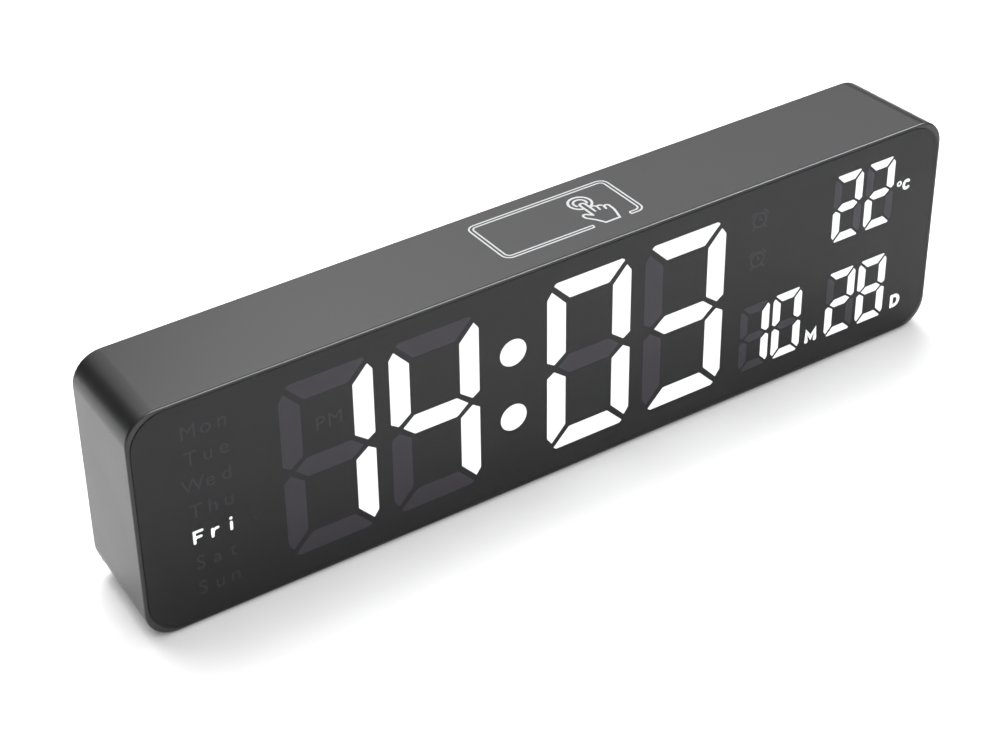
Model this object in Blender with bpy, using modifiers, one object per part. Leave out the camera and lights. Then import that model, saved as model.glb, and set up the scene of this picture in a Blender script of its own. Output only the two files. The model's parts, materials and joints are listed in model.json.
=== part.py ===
"""A long digital LED alarm clock, as the separate pieces that it comes apart into.

The scene is in metres with +Z up. X runs along the clock, the display faces -Y, and the
origin lies on the surface that the clock stands on, under the middle of its box.
Sizes below are in millimetres. A height called h is measured from the middle of the case.
"""

import math

import bmesh
import bpy
from mathutils import Matrix, Vector

MM = 0.001
GAP = 0.3

# Case
LENGTH = 310.0
HEIGHT = 84.0
DEPTH = 40.0
CORNER = 10.4
SIDE_DRAFT = 1.9
TOP_DRAFT = 1.6
WALL = 2.6
FOOT_DROP = 0.8
RIM_ROUND = 0.8
RIM_STEPS = 3
CORNER_STEPS = 9
MID_Z = FOOT_DROP + HEIGHT / 2

# Front to back stations, along Y
LENS_FRONT = -DEPTH / 2
LENS_PROUD = 0.3
LENS_THICK = 1.5
LENS_BACK = LENS_FRONT + LENS_THICK
RIM_FRONT = LENS_FRONT + LENS_PROUD
RIM_BACK = DEPTH / 2
LEDGE_FRONT = -17.5
LEDGE_BACK = -15.5
LIGHT_BOX_FRONT = -17.6
LIGHT_BOX_BACK = -6.6
DISPLAY_BOARD_FRONT = -6.3
BOARD_THICK = 1.6
DISPLAY_BOARD_BACK = DISPLAY_BOARD_FRONT + BOARD_THICK
CONTROL_BOARD_FRONT = 7.7
CONTROL_BOARD_BACK = CONTROL_BOARD_FRONT + BOARD_THICK
COVER_SEAT = 16.5
COVER_FRONT = 16.8
COVER_BACK = 19.2

# Lens and the ledge behind it
RIM_WIDTH = 1.2
LENS_CORNER = 12.0
WINDOW = (146.4, 37.0)
WINDOW_CORNER = 3.0
LIGHT_BOX = (145.4, 36.0)
DISPLAY_BOARD = (145.8, 37.5)
BOARD_CORNER = 2.0

# Display layout: seven-segment digits as (left x, bottom h, width, height, stroke)
BIG_DIGIT = (32.7, 65.3, 7.2)
SMALL_DIGIT = (12.5, 26.2, 3.2)
BIG_LEFTS = (-104.9, -66.5, -8.0, 30.3)
DATE_LEFTS = (71.2, 85.3, 109.0, 123.05)
TEMPERATURE_LEFTS = (109.0, 123.05)
DIGIT_BASE = -32.6
TEMPERATURE_BASE = 6.4
COLON_X = -21.0
COLON_H = 12.7
COLON_RADIUS = 5.0
WEEKDAY_PITCH = 9.85
WEEKDAY_BASE = -32.4
WEEKDAY_BOX = (-137.2, -122.3, 6.1)
ICONS = ((77.0, 27.3), (77.0, 11.8))
ICON_RADIUS = 4.6
# Windows behind the fixed letters: (low x, low h, high x, high h)
LETTER_WINDOWS = (
    (-93.8, 11.4, -83.2, 17.6),
    (136.6, 16.2, 144.2, 22.4),
    (99.6, -32.5, 106.6, -25.6),
    (138.2, -32.3, 144.3, -25.6),
)
STAKES = ((-114, 26), (-114, -26), (-21, 28), (-21, -28), (67.5, 0), (141, -5))
BIG_LED = 2.8
SMALL_LED = 1.6
LED_HEIGHT = 1.2

# Rear cover features, as (x, h)
COVER_SCREWS = (
    (-146.5, 33.8),
    (146.5, 33.8),
    (-146.5, -33.8),
    (146.5, -33.8),
    (-45, 35.3),
    (5, -35.3),
)
PILLARS = ((-140, 14), (-140, -14), (140, 14), (140, -14))
KEYHOLES = ((-100, 16), (100, 16))
KEYHOLE_HEAD = 4.2
KEYHOLE_SLOT = 2.2
KEYHOLE_RISE = 9.0
VENT_X = (-132.0, -118.0)
VENT_H = -8.0
VENT_PITCH = 3.0
VENT_WIDTH = 1.4
VENTS = 5

# Control board, as (x, h)
CONTROL_BOARD = ((-116, -24), (-8, 20))
CONTROL_POSTS = ((-112, 16), (-12, 16), (-112, -20), (-12, -20))
BUTTONS = {"mode": -76, "set": -62, "up": -48, "down": -34}
BUTTON_H = 6.0
BUTTON_RADIUS = 3.2
BUTTON_TOP = 19.9
USB = (-96, -12)
BUZZER = (-20, -4)
HEADER = (-60, -6)
CHIP_H = -14.0

# Battery bay
CELL_RADIUS = 5.1
CELL_LENGTH = 43.7
NUB_RADIUS = 1.9
NUB_LENGTH = 0.8
CELL_PITCH = 11.5
CELL_Y = 11.9
CONTACT_THICK = 0.4
SPRING_LENGTH = 4.2
BAY_LEFT = 26.5
BAY_RIGHT = (
    BAY_LEFT + CELL_LENGTH + NUB_LENGTH + SPRING_LENGTH + 2 * CONTACT_THICK + 5 * GAP
)
BAY_MID_H = -12.0
BAY_HALF_H = 19.0
BAY_FLOOR = 6.4
BAY_WALL = 2.2
DOOR_LIP = 2.0
DOOR_FRONT = 17.6

COLOURS = {
    "case_plastic": ((0.022, 0.022, 0.024), 0.5, 0.0),
    "smoked_lens": ((0.03, 0.03, 0.034), 0.08, 0.0),
    "foam_tape": ((0.02, 0.02, 0.02), 0.9, 0.0),
    "mask_film": ((0.03, 0.028, 0.032), 0.35, 0.0),
    "white_plastic": ((0.8, 0.8, 0.78), 0.5, 0.0),
    "circuit_board": ((0.03, 0.16, 0.07), 0.4, 0.0),
    "black_resin": ((0.02, 0.02, 0.02), 0.45, 0.0),
    "nickel": ((0.62, 0.61, 0.58), 0.3, 1.0),
    "copper": ((0.72, 0.4, 0.26), 0.35, 1.0),
    "screw_steel": ((0.1, 0.1, 0.11), 0.4, 1.0),
    "button_rubber": ((0.03, 0.03, 0.032), 0.6, 0.0),
    "foot_rubber": ((0.04, 0.04, 0.04), 0.8, 0.0),
    "cell_jacket": ((0.05, 0.22, 0.12), 0.35, 0.0),
    "cable_jacket": ((0.5, 0.5, 0.52), 0.5, 0.0),
    "red_wire": ((0.55, 0.03, 0.02), 0.5, 0.0),
    "black_wire": ((0.02, 0.02, 0.02), 0.5, 0.0),
}


def clear_scene():
    for obj in list(bpy.data.objects):
        bpy.data.objects.remove(obj, do_unlink=True)


def new_collection(name):
    collection = bpy.data.collections.new(name)
    bpy.context.scene.collection.children.link(collection)
    return collection


def principled(name):
    """The material of one kind of stuff, made once."""
    if name in bpy.data.materials:
        return bpy.data.materials[name]
    colour, roughness, metallic = COLOURS[name]
    material = bpy.data.materials.new(name)
    material.use_nodes = True
    shader = material.node_tree.nodes["Principled BSDF"]
    shader.inputs["Base Color"].default_value = (*colour, 1.0)
    shader.inputs["Roughness"].default_value = roughness
    shader.inputs["Metallic"].default_value = metallic
    return material


clear_scene()
CLOCK = new_collection("alarm_clock")
TOOLS = new_collection("cutters")


def case_point(x, y, h):
    return Vector((x, y, MID_Z + h)) * MM


def add_object(name, data, centre):
    obj = bpy.data.objects.new(name, data)
    obj.location = case_point(*centre)
    CLOCK.objects.link(obj)
    return obj


def mesh_object(name, shape, centre):
    """An object from a bmesh in millimetres around its own origin."""
    bmesh.ops.scale(shape, vec=(MM, MM, MM), verts=shape.verts)
    bmesh.ops.recalc_face_normals(shape, faces=shape.faces)
    mesh = bpy.data.meshes.new(name)
    shape.to_mesh(mesh)
    shape.free()
    return add_object(name, mesh, centre)


def finish(obj, material):
    obj.data.materials.append(principled(material))
    if obj.type == "MESH":
        obj.data.shade_smooth()
        obj.data.set_sharp_from_angle(angle=math.radians(35))
    return obj


def as_tool(obj):
    """Turns an object into a cutter or a piece to be fused on."""
    CLOCK.objects.unlink(obj)
    TOOLS.objects.link(obj)
    obj.hide_render = True
    obj.display_type = "WIRE"
    return obj


def combine(obj, operation, tools):
    for tool in tools:
        modifier = obj.modifiers.new(operation.lower(), "BOOLEAN")
        modifier.operation = operation
        modifier.object = as_tool(tool)
    return obj


def cut(obj, *tools):
    return combine(obj, "DIFFERENCE", tools)


def fuse(obj, *tools):
    return combine(obj, "UNION", tools)


def block(name, low, high):
    """A box between two corners given as (x, y, h)."""
    size = [b - a for a, b in zip(low, high)]
    centre = [(a + b) / 2 for a, b in zip(low, high)]
    shape = bmesh.new()
    bmesh.ops.create_cube(shape, size=1)
    bmesh.ops.scale(shape, vec=size, verts=shape.verts)
    return mesh_object(name, shape, centre)


AXIS_TURN = {
    "x": Matrix.Rotation(math.radians(90), 3, "Y"),
    "y": Matrix.Rotation(math.radians(-90), 3, "X"),
    "z": Matrix.Identity(3),
}
AXIS_STEP = {"x": Vector((1, 0, 0)), "y": Vector((0, 1, 0)), "z": Vector((0, 0, 1))}


def rod(name, start, radius, length, axis="y", sides=16):
    """A cylinder that begins at start, (x, y, h), and runs along +axis."""
    shape = bmesh.new()
    bmesh.ops.create_cone(
        shape, cap_ends=True, segments=sides, radius1=radius, radius2=radius, depth=length
    )
    bmesh.ops.rotate(shape, matrix=AXIS_TURN[axis], verts=shape.verts)
    centre = Vector(start) + AXIS_STEP[axis] * (length / 2)
    return mesh_object(name, shape, centre)


def rounded_block(
    name, y_front, y_back, front_half, back_half, corner, edge_round=0.0, steps=CORNER_STEPS, edge_steps=2
):
    """A block with round corners seen from the front, tapering from front_half to back_half."""
    depth = y_back - y_front
    shape = bmesh.new()
    bmesh.ops.create_cube(shape, size=1)
    bmesh.ops.scale(shape, vec=(2 * front_half[0], depth, 2 * front_half[1]), verts=shape.verts)
    long_edges = [e for e in shape.edges if abs(e.verts[0].co.y - e.verts[1].co.y) > depth / 2]
    bmesh.ops.bevel(shape, geom=long_edges, offset=corner, segments=steps, profile=0.5, affect="EDGES")
    back = [v for v in shape.verts if v.co.y > 0]
    shrink = (back_half[0] / front_half[0], 1, back_half[1] / front_half[1])
    bmesh.ops.scale(shape, vec=shrink, verts=back)
    if edge_round:
        rims = [e for e in shape.edges if abs(e.verts[0].co.y - e.verts[1].co.y) < depth / 2]
        bmesh.ops.bevel(
            shape, geom=rims, offset=edge_round, segments=edge_steps, profile=0.5, affect="EDGES"
        )
    return mesh_object(name, shape, (0, (y_front + y_back) / 2, 0))


def case_half(y, inset):
    """Half width and half height of the drafted case at y, less an inset."""
    share = (y - RIM_FRONT) / (RIM_BACK - RIM_FRONT)
    return (
        LENGTH / 2 - SIDE_DRAFT * share - inset,
        HEIGHT / 2 - TOP_DRAFT * share - inset,
    )


def case_block(name, y_front, y_back, inset, corner, edge_round=0.0):
    """A block that follows the drafted case surface, a given distance inside it."""
    front, back = case_half(y_front, inset), case_half(y_back, inset)
    return rounded_block(
        name, y_front, y_back, front, back, corner, edge_round, edge_steps=RIM_STEPS
    )


def soften(obj, width, segments=2):
    modifier = obj.modifiers.new("soften", "BEVEL")
    modifier.width = width * MM
    modifier.segments = segments
    modifier.limit_method = "ANGLE"
    modifier.angle_limit = math.radians(40)
    return obj


def mesh_from_curve(obj):
    """Replaces a curve object by the welded mesh of its shape."""
    graph = bpy.context.evaluated_depsgraph_get()
    mesh = bpy.data.meshes.new_from_object(obj.evaluated_get(graph))
    shape = bmesh.new()
    shape.from_mesh(mesh)
    bmesh.ops.remove_doubles(shape, verts=shape.verts, dist=0.00001)
    bmesh.ops.recalc_face_normals(shape, faces=shape.faces)
    shape.to_mesh(mesh)
    shape.free()
    name, matrix = obj.name, obj.matrix_world.copy()
    bpy.data.objects.remove(obj)
    solid = bpy.data.objects.new(name, mesh)
    solid.matrix_world = matrix
    CLOCK.objects.link(solid)
    return solid


def plate_from_outlines(name, outlines, y_front, y_back, along="y"):
    """Flat plates from closed outlines, which are lists of (x, h), or (y, h) for along x."""
    curve = bpy.data.curves.new(name, "CURVE")
    curve.dimensions = "2D"
    curve.fill_mode = "BOTH"
    curve.extrude = (y_back - y_front) / 2 * MM
    for outline in outlines:
        spline = curve.splines.new("POLY")
        spline.points.add(len(outline) - 1)
        spline.use_cyclic_u = True
        for point, (across, up) in zip(spline.points, outline):
            point.co = (across * MM, up * MM, 0, 1)
    middle = (y_front + y_back) / 2
    centre = (0, middle, 0) if along == "y" else (middle, 0, 0)
    obj = add_object(name, curve, centre)
    obj.rotation_euler = (math.radians(90), 0, 0 if along == "y" else math.radians(90))
    bpy.context.view_layer.update()
    return mesh_from_curve(obj)


def tube(name, points, radius):
    """A round wire through (x, y, h) points."""
    curve = bpy.data.curves.new(name, "CURVE")
    curve.dimensions = "3D"
    curve.bevel_depth = radius * MM
    curve.bevel_resolution = 2
    curve.use_fill_caps = True
    spline = curve.splines.new("POLY")
    spline.points.add(len(points) - 1)
    for point, place in zip(spline.points, points):
        point.co = (*(Vector(place) * MM), 1)
    return add_object(name, curve, (0, 0, 0))


def turned(name, profile, start, axis="x", flip=False, steps=20):
    """A turned piece. The profile is (radius, distance from start along the axis), tip first."""
    mesh = bpy.data.meshes.new(name)
    far_end = max(distance for _, distance in profile)
    points = [(radius * MM, 0, distance * MM) for radius, distance in profile]
    if flip:
        points = [(x, 0, far_end * MM - z) for x, _, z in reversed(points)]
    mesh.from_pydata(points, [(i, i + 1) for i in range(len(points) - 1)], [])
    obj = add_object(name, mesh, start)
    obj.rotation_euler = AXIS_TURN[axis].to_euler()
    screw = obj.modifiers.new("turn", "SCREW")
    screw.axis = "Z"
    screw.steps = steps
    screw.render_steps = steps
    screw.use_merge_vertices = True
    screw.merge_threshold = 0.00001
    screw.use_smooth_shade = True
    return obj


def arc(centre, radius, start, end, steps):
    """Points on an arc, angles in degrees."""
    angles = [math.radians(start + (end - start) * i / steps) for i in range(steps + 1)]
    return [(centre[0] + radius * math.cos(a), centre[1] + radius * math.sin(a)) for a in angles]


def circle(centre, radius, sides):
    return arc(centre, radius, 0, 360 * (1 - 1 / sides), sides - 1)


def rectangle(low_x, low_h, high_x, high_h):
    return [(low_x, low_h), (high_x, low_h), (high_x, high_h), (low_x, high_h)]


def digit_outlines(left, base, size):
    """The seven bars of one digit. Each bar's ends are cut to keep a slanting gap to the next."""
    width, height, stroke = size
    middle = height / 2
    top = [
        (0.36, height - 0.12 * stroke),
        (0.5, height),
        (width / stroke - 0.5, height),
        (width / stroke - 0.36, height - 0.12 * stroke),
        (width / stroke - 1.21, height - stroke),
        (1.21, height - stroke),
    ]
    top = [(x * stroke, h) for x, h in top]
    upper_right = [
        (width - stroke, height - 1.22 * stroke),
        (width - stroke, middle + 0.67 * stroke),
        (width - 0.375 * stroke, middle + 0.19 * stroke),
        (width, middle + 0.44 * stroke),
        (width, height - 0.75 * stroke),
        (width - 0.25 * stroke, height - 0.4 * stroke),
    ]
    centre_bar = [
        (0.6 * stroke, middle),
        (1.18 * stroke, middle - 0.5 * stroke),
        (width - 1.18 * stroke, middle - 0.5 * stroke),
        (width - 0.6 * stroke, middle),
        (width - 1.18 * stroke, middle + 0.5 * stroke),
        (1.18 * stroke, middle + 0.5 * stroke),
    ]
    upper_left = [(width - x, h) for x, h in upper_right]
    lower = [[(x, height - h) for x, h in bar] for bar in (top, upper_right, upper_left)]
    bars = [top, upper_right, upper_left, centre_bar, *lower]
    return [[(left + x, base + h) for x, h in bar] for bar in bars]


def display_windows():
    """Outlines of every cavity, with the large ones first in a list of their own."""
    large = [bar for left in BIG_LEFTS for bar in digit_outlines(left, DIGIT_BASE, BIG_DIGIT)]
    large += [circle((COLON_X, side * COLON_H), COLON_RADIUS, 16) for side in (1, -1)]
    small = [bar for left in DATE_LEFTS for bar in digit_outlines(left, DIGIT_BASE, SMALL_DIGIT)]
    for left in TEMPERATURE_LEFTS:
        small += digit_outlines(left, TEMPERATURE_BASE, SMALL_DIGIT)
    for row in range(7):
        low_x, high_x, tall = WEEKDAY_BOX
        base = WEEKDAY_BASE + row * WEEKDAY_PITCH
        small.append(rectangle(low_x, base, high_x, base + tall))
    small += [rectangle(*window) for window in LETTER_WINDOWS]
    small += [circle(icon, ICON_RADIUS, 12) for icon in ICONS]
    return large, small


def middle_of(outline):
    count = len(outline)
    return (sum(x for x, _ in outline) / count, sum(h for _, h in outline) / count)


def screw(name, head_centre, shank_length, head_radius=2.5, head_thick=1.1, shank_radius=1.1, into=-1):
    """A pan-head screw along Y with a crossed recess. into is the way its shank points."""
    x, y, h = head_centre
    head_start = y if into < 0 else y - head_thick
    shank_start = y - shank_length if into < 0 else y - 0.2
    body = rod(name, (x, head_start, h), head_radius, head_thick, sides=14)
    shank = rod(name + "_shank", (x, shank_start, h), shank_radius, shank_length + 0.2, sides=8)
    outer = y + head_thick if into < 0 else y - head_thick
    low, high = sorted((outer + into * 0.6, outer - into * 0.5))
    arms = ((1.5, 0.35), (0.35, 1.5))
    slots = [
        block(f"{name}_recess_{i}", (x - wide, low, h - tall), (x + wide, high, h + tall))
        for i, (wide, tall) in enumerate(arms)
    ]
    fuse(body, shank)
    cut(body, *slots)
    return finish(body, "screw_steel")


def make_housing():
    housing = case_block("housing", RIM_FRONT, RIM_BACK, 0, CORNER, RIM_ROUND)
    cavity = case_block("case_cavity", LEDGE_BACK, RIM_BACK + 1, WALL, CORNER - 2.2)
    rebate = case_block("cover_rebate", COVER_SEAT, RIM_BACK + 1, RIM_WIDTH, CORNER - 1.5)
    front_half = case_half(RIM_FRONT, RIM_WIDTH)
    pocket = rounded_block("lens_pocket", RIM_FRONT - 1, LEDGE_FRONT, front_half, front_half, LENS_CORNER)
    window = rounded_block(
        "display_window", LEDGE_FRONT - 1, LEDGE_BACK + 1, WINDOW, WINDOW, WINDOW_CORNER, steps=3
    )
    cut(housing, cavity, rebate, pocket, window)
    holes = []
    for number, (x, h) in enumerate(COVER_SCREWS):
        at_corner = abs(x) > 100
        start = -3.5 if at_corner else 4.0
        radius = 3.2 if at_corner else 3.4
        fuse(housing, rod(f"boss_{number}", (x, start, h), radius, COVER_SEAT - start))
        if at_corner:
            side = math.copysign(1, x)
            low, high = sorted((x, side * 152.5))
            rib = block(f"boss_rib_{number}", (low, start, h - 1), (high, COVER_SEAT, h + 1))
            fuse(housing, rib)
        holes.append(rod(f"boss_hole_{number}", (x, COVER_SEAT - 9, h), 1.4, 10, sides=10))
    cut(housing, *holes)
    for name, (low, high) in foot_places().items():
        pocket_low = (low[0] - GAP, low[1] - GAP, -MID_Z)
        pocket_high = (high[0] + GAP, high[1] + GAP, high[2] + GAP)
        cut(housing, block(name + "_pocket", pocket_low, pocket_high))
    return finish(housing, "case_plastic")


def foot_places():
    """Low and high corners of the four feet, each sunk 0.6 into the sloping underside."""
    places = {}
    for end, x in (("left", -128), ("right", 128)):
        for side, y in (("front", -12), ("rear", 12)):
            underside = -case_half(y - 3, 0)[1]
            name = f"foot_{side}_{end}"
            places[name] = ((x - 9, y - 3, -MID_Z), (x + 9, y + 3, underside + 0.6))
    return places


def make_feet():
    for name, (low, high) in foot_places().items():
        foot = block(name, low, high)
        soften(foot, 0.25, 1)
        finish(foot, "foot_rubber")


def make_front():
    half = case_half(RIM_FRONT, RIM_WIDTH + GAP)
    lens = rounded_block("front_lens", LENS_FRONT, LENS_BACK, half, half, LENS_CORNER - GAP, 0.2)
    finish(lens, "smoked_lens")
    tape_back = LEDGE_FRONT - GAP
    outer = (half[0] - 0.8, half[1] - 0.8)
    tape_corner = LENS_CORNER - 1
    tape = rounded_block("lens_tape", LENS_BACK + GAP, tape_back, outer, outer, tape_corner, steps=5)
    inner = (WINDOW[0] + 1.0, WINDOW[1] + 0.6)
    hole = rounded_block("tape_hole", LENS_BACK, tape_back + 1, inner, inner, WINDOW_CORNER, steps=3)
    finish(cut(tape, hole), "foam_tape")
    film_half = (inner[0] - GAP, inner[1] - GAP)
    film_back = LIGHT_BOX_FRONT - GAP
    film = rounded_block(
        "segment_film", LENS_BACK + GAP, film_back, film_half, film_half, WINDOW_CORNER - GAP, steps=3
    )
    finish(film, "mask_film")


def make_light_box():
    """White block with a cavity behind every bar, dot and word, staked through the display board."""
    light_box = rounded_block(
        "light_box", LIGHT_BOX_FRONT, LIGHT_BOX_BACK, LIGHT_BOX, LIGHT_BOX, BOARD_CORNER, steps=2
    )
    for number, (x, h) in enumerate(STAKES):
        pin = rod(f"stake_{number}", (x, LIGHT_BOX_BACK - 1, h), 1.2, 3.4, sides=8)
        head_start = DISPLAY_BOARD_BACK + GAP
        head = rod(f"stake_head_{number}", (x, head_start, h), 2.0, 0.8, sides=8)
        fuse(light_box, pin, head)
    large, small = display_windows()
    cavities = plate_from_outlines("cavities", large + small, LIGHT_BOX_FRONT - 1, LIGHT_BOX_BACK + 1)
    finish(cut(light_box, cavities), "white_plastic")


def make_display_board():
    """Display circuit board with one LED package under each cavity, soldered to its front."""
    half = DISPLAY_BOARD
    board = rounded_block(
        "display_board", DISPLAY_BOARD_FRONT, DISPLAY_BOARD_BACK, half, half, BOARD_CORNER, steps=2
    )
    shape = bmesh.new()
    large, small = display_windows()
    packages = [(outline, BIG_LED) for outline in large] + [(outline, SMALL_LED) for outline in small]
    depth = LED_HEIGHT + 0.2
    for outline, size in packages:
        x, h = middle_of(outline)
        placing = Matrix.Translation((x, 0, h)) @ Matrix.Diagonal((size, depth, size, 1))
        bmesh.ops.create_cube(shape, size=1, matrix=placing)
    leds = mesh_object("led_packages", shape, (0, DISPLAY_BOARD_FRONT + 0.2 - depth / 2, 0))
    fuse(board, leds)
    for number, (x, h) in enumerate(STAKES):
        cut(board, rod(f"stake_hole_{number}", (x, DISPLAY_BOARD_FRONT - 1, h), 1.5, 4, sides=8))
    finish(board, "circuit_board")


def make_control_board():
    (low_x, low_h), (high_x, high_h) = CONTROL_BOARD
    board_low = (low_x, CONTROL_BOARD_FRONT, low_h)
    board = block("control_board", board_low, (high_x, CONTROL_BOARD_BACK, high_h))
    for number, (x, h) in enumerate(CONTROL_POSTS):
        cut(board, rod(f"board_hole_{number}", (x, CONTROL_BOARD_FRONT - 1, h), 1.5, 4, sides=10))
        screw(f"board_screw_{number + 1}", (x, CONTROL_BOARD_FRONT - GAP, h), 6, shank_radius=0.9, into=1)
    finish(board, "circuit_board")

    on_board = CONTROL_BOARD_BACK + GAP
    make_chip("controller_chip", (HEADER[0], CHIP_H), on_board)
    can = [(0, 8), (0.9, 8), (1, 7.8), (1, 0.6), (0.3, 0.5), (0.3, -2), (0, -2)]
    crystal = turned("clock_crystal", can, (-47, on_board + 1.3, CHIP_H), "x", steps=12)
    finish(crystal, "nickel")
    sleeve = [(0, 6), (2.9, 6), (3.15, 5.7), (3.15, 1.3), (2.9, 1), (3.15, 0.7), (3.15, 0), (0, 0)]
    capacitor = turned("supply_capacitor", sleeve, (-80, on_board, CHIP_H), "y", steps=18)
    finish(capacitor, "black_resin")
    buzzer = rod("buzzer", (BUZZER[0], on_board, BUZZER[1]), 6.0, 6.6, sides=24)
    cut(buzzer, rod("buzzer_mouth", (BUZZER[0], on_board + 5, BUZZER[1]), 1.5, 3, sides=12))
    finish(buzzer, "black_resin")
    bead = [(0, 9.4), (0.7, 9.2), (1.3, 8.2), (1.4, 7.4), (0.9, 6.2), (0.4, 5.6), (0.4, 0), (0, 0)]
    sensor = turned("temperature_sensor", bead, (low_x - GAP - 9.4, CONTROL_BOARD_FRONT + 0.8, VENT_H), "x",
                    flip=True, steps=12)
    finish(sensor, "black_resin")


def make_chip(name, place, y_front):
    """A sixteen-leg surface-mount chip lying on the rear of the control board."""
    x, h = place
    chip = block(name, (x - 5.1, y_front + 0.3, h - 1.95), (x + 5.1, y_front + 1.9, h + 1.95))
    for number in range(8):
        leg_x = x - 4.445 + number * 1.27
        leg_low = (leg_x - 0.2, y_front, h - 3.1)
        fuse(chip, block(f"{name}_leg_{number}", leg_low, (leg_x + 0.2, y_front + 0.6, h + 3.1)))
    finish(chip, "black_resin")


def make_usb_socket():
    """Type C socket standing on the control board and reaching the rear cover."""
    x, h = USB
    front = CONTROL_BOARD_BACK + GAP
    back = COVER_BACK - 0.9
    shell = block("usb_socket", (x - 4.5, front, h - 1.65), (x + 4.5, back, h + 1.65))
    soften(shell, 1.2, 3)
    mouth = block("usb_mouth", (x - 4.15, back - 6.5, h - 1.3), (x + 4.15, back + 1.5, h + 1.3))
    soften(mouth, 0.9, 3)
    tongue = block("usb_tongue", (x - 3.3, back - 7, h - 0.35), (x + 3.3, back - 1, h + 0.35))
    cut(shell, mouth)
    fuse(shell, tongue)
    finish(shell, "nickel")


def make_buttons():
    """Rear buttons: each cap presses the plunger of a tactile switch on the control board."""
    plunger_tip = 14.1
    switch_front = CONTROL_BOARD_BACK + GAP
    switch_back = switch_front + 3.5
    for name, x in BUTTONS.items():
        h = BUTTON_H
        profile = [
            (0, BUTTON_TOP - plunger_tip - GAP),
            (2.7, BUTTON_TOP - plunger_tip - GAP),
            (BUTTON_RADIUS, BUTTON_TOP - plunger_tip - GAP - 0.4),
            (BUTTON_RADIUS, 2.1),
            (4.3, 2.1),
            (4.3, 1.3),
            (2.0, 1.3),
            (2.0, 0),
            (0, 0),
        ]
        cap = turned(f"{name}_button", profile, (x, plunger_tip + GAP, h), "y", steps=24)
        finish(cap, "button_rubber")
        plunger = rod(f"{name}_switch_plunger", (x, 12.1, h), 1.7, plunger_tip - 12.1, sides=14)
        finish(plunger, "white_plastic")
        switch = block(f"{name}_switch", (x - 3, switch_front, h - 3), (x + 3, switch_back, h + 3))
        cut(switch, rod(f"{name}_plunger_hole", (x, switch_front + 1.6, h), 2.0, 4, sides=14))
        finish(switch, "black_resin")


def make_ribbon():
    x, h = HEADER
    low_y, high_y = DISPLAY_BOARD_BACK + GAP, CONTROL_BOARD_FRONT - GAP
    header_tall = 3.2
    half_long, half_wide = 12.0, 2.5
    for name, start, end in (
        ("display_header", low_y, low_y + header_tall),
        ("control_header", high_y - header_tall, high_y),
    ):
        low, high = (x - half_long, start, h - half_wide), (x + half_long, end, h + half_wide)
        finish(block(name, low, high), "white_plastic")
    start, end = low_y + header_tall / 2, high_y - header_tall / 2
    middle, radius, half = (start + end) / 2, (end - start) / 2, 0.4
    top, turn = h - half_wide - GAP, h - 9.0
    outline = [(middle + radius + half, top)]
    outline += arc((middle, turn), radius + half, 0, -180, 8)
    outline += [(middle - radius - half, top), (middle - radius + half, top)]
    outline += arc((middle, turn), radius - half, -180, 0, 8)
    outline += [(middle + radius - half, top)]
    finish(plate_from_outlines("ribbon_cable", [outline], x - 10, x + 10, along="x"), "cable_jacket")


def make_touch_sensor():
    """Copper plate under the touch area of the case top, and its lead to the control board."""
    under = case_half(12.0, WALL)[1] - GAP
    plate = block("touch_plate", (-12, -2, under - 0.4), (31, 12, under))
    finish(plate, "copper")
    start = (-10, 6, under - 0.4 - GAP - 0.5)
    route = [start, (-10, 6.4, under - 4), (-11, 7.4, 30), (-12, 8.2, 26), (-14, 8.5, 23), (-15, 8.5, 20.4)]
    finish(tube("touch_lead", route, 0.5), "black_wire")


def bay_ends():
    """(plate low x, plate high x, inner face x) of the contacts at the left and right ends."""
    left = BAY_LEFT + GAP
    right = BAY_RIGHT - GAP
    return (left, left + CONTACT_THICK), (right - CONTACT_THICK, right)


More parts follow.
